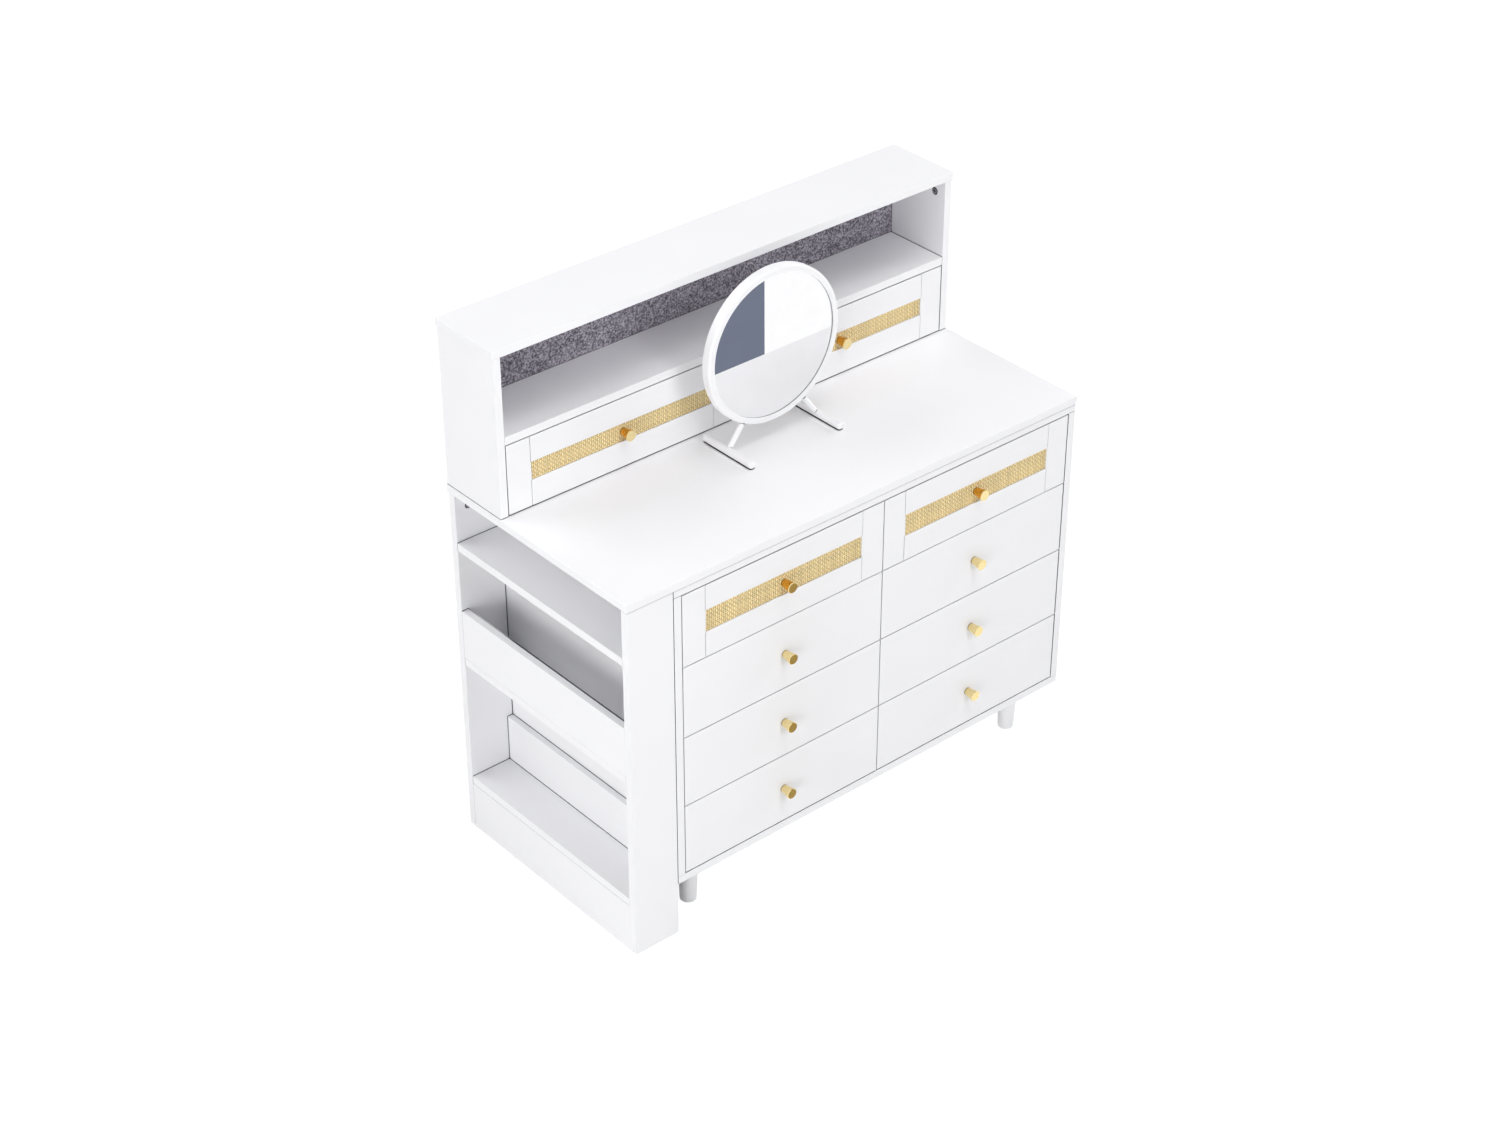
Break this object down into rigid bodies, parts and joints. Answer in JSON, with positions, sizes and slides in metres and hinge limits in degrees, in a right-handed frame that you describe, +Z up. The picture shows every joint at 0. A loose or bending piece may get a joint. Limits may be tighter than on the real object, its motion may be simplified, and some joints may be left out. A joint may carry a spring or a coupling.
{
  "type": "dressing table",
  "caption": "White dressing table: drawer chest with brass knobs and rattan-fronted drawers, open side shelves, felt-lined hutch and a loose round table mirror.",
  "frame": {"origin": "on the floor, under the centre of the outline that the table top and the chest's knobs take up", "axes": "+Z up, +X to the right seen from the front, +Y to the back, drawers open towards -Y"},
  "size_m": [1, 0.497, 1.026],
  "materials": {
    "white_board": "matt white laminate on board",
    "white_front": "matt white laminate on board",
    "leg": "white satin paint",
    "drawer_board": "white laminate",
    "felt": "mottled grey felt",
    "rattan": "fine woven natural rattan",
    "knob": "satin brass",
    "runner": "plain",
    "cam_lock": "die-cast zinc",
    "mirror_frame": "white powder coat",
    "mirror_glass": "silvered glass",
    "mirror_back": "white laminate"
  },
  "bodies": {
    "carcass": {"table_top": "white_board", "chest_top_panel": "white_board", "chest_bottom_panel": "white_board", "chest_left_side": "white_board", "chest_right_side": "white_board", "chest_divider": "white_board", "chest_back_panel": "white_board", "legs": "leg", "side_unit_front_board": "white_board", "side_unit_back_board": "white_board", "side_unit_shelves": "white_board", "side_unit_guard": "white_board", "side_unit_plinth": "white_board", "side_unit_stretcher": "white_board", "hutch_sides": "white_board", "hutch_top": "white_board", "hutch_shelf": "white_board", "hutch_divider": "white_board", "hutch_back": "white_board", "hutch_felt": "felt", "drawer_runners": "runner", "cam_locks": "cam_lock"},
    "drawer_left_1": {"drawer_left_1_front": "white_front", "drawer_left_1_box": "drawer_board", "drawer_left_1_knob": "knob", "drawer_left_1_rattan": "rattan"},
    "drawer_left_2": {"drawer_left_2_front": "white_front", "drawer_left_2_box": "drawer_board", "drawer_left_2_knob": "knob"},
    "drawer_left_3": {"drawer_left_3_front": "white_front", "drawer_left_3_box": "drawer_board", "drawer_left_3_knob": "knob"},
    "drawer_left_4": {"drawer_left_4_front": "white_front", "drawer_left_4_box": "drawer_board", "drawer_left_4_knob": "knob"},
    "drawer_right_1": {"drawer_right_1_front": "white_front", "drawer_right_1_box": "drawer_board", "drawer_right_1_knob": "knob", "drawer_right_1_rattan": "rattan"},
    "drawer_right_2": {"drawer_right_2_front": "white_front", "drawer_right_2_box": "drawer_board", "drawer_right_2_knob": "knob"},
    "drawer_right_3": {"drawer_right_3_front": "white_front", "drawer_right_3_box": "drawer_board", "drawer_right_3_knob": "knob"},
    "drawer_right_4": {"drawer_right_4_front": "white_front", "drawer_right_4_box": "drawer_board", "drawer_right_4_knob": "knob"},
    "hutch_drawer_left": {"hutch_drawer_left_front": "white_front", "hutch_drawer_left_box": "drawer_board", "hutch_drawer_left_knob": "knob", "hutch_drawer_left_rattan": "rattan"},
    "hutch_drawer_right": {"hutch_drawer_right_front": "white_front", "hutch_drawer_right_box": "drawer_board", "hutch_drawer_right_knob": "knob", "hutch_drawer_right_rattan": "rattan"},
    "mirror": {"mirror_frame": "mirror_frame", "mirror_glass": "mirror_glass", "mirror_back": "mirror_back", "mirror_stand": "mirror_frame"}
  },
  "joints": [
    {"name": "drawer_left_1_slide", "type": "slide", "parent": "carcass", "child": "drawer_left_1", "axis": [0, -1, 0], "range_m": [0, 0.3]},
    {"name": "drawer_left_2_slide", "type": "slide", "parent": "carcass", "child": "drawer_left_2", "axis": [0, -1, 0], "range_m": [0, 0.3]},
    {"name": "drawer_left_3_slide", "type": "slide", "parent": "carcass", "child": "drawer_left_3", "axis": [0, -1, 0], "range_m": [0, 0.3]},
    {"name": "drawer_left_4_slide", "type": "slide", "parent": "carcass", "child": "drawer_left_4", "axis": [0, -1, 0], "range_m": [0, 0.3]},
    {"name": "drawer_right_1_slide", "type": "slide", "parent": "carcass", "child": "drawer_right_1", "axis": [0, -1, 0], "range_m": [0, 0.3]},
    {"name": "drawer_right_2_slide", "type": "slide", "parent": "carcass", "child": "drawer_right_2", "axis": [0, -1, 0], "range_m": [0, 0.3]},
    {"name": "drawer_right_3_slide", "type": "slide", "parent": "carcass", "child": "drawer_right_3", "axis": [0, -1, 0], "range_m": [0, 0.3]},
    {"name": "drawer_right_4_slide", "type": "slide", "parent": "carcass", "child": "drawer_right_4", "axis": [0, -1, 0], "range_m": [0, 0.3]},
    {"name": "hutch_drawer_left_slide", "type": "slide", "parent": "carcass", "child": "hutch_drawer_left", "axis": [0, -1, 0], "range_m": [0, 0.085]},
    {"name": "hutch_drawer_right_slide", "type": "slide", "parent": "carcass", "child": "hutch_drawer_right", "axis": [0, -1, 0], "range_m": [0, 0.085]},
    {"name": "mirror_shift", "type": "slide", "parent": "hutch_drawer_left", "child": "mirror", "axis": [0, -1, 0], "range_m": [0, 0.085]}
  ],
  "couplings": [
    {"joint": "mirror_shift", "follows": "hutch_drawer_right_slide", "ratio": 1}
  ]
}
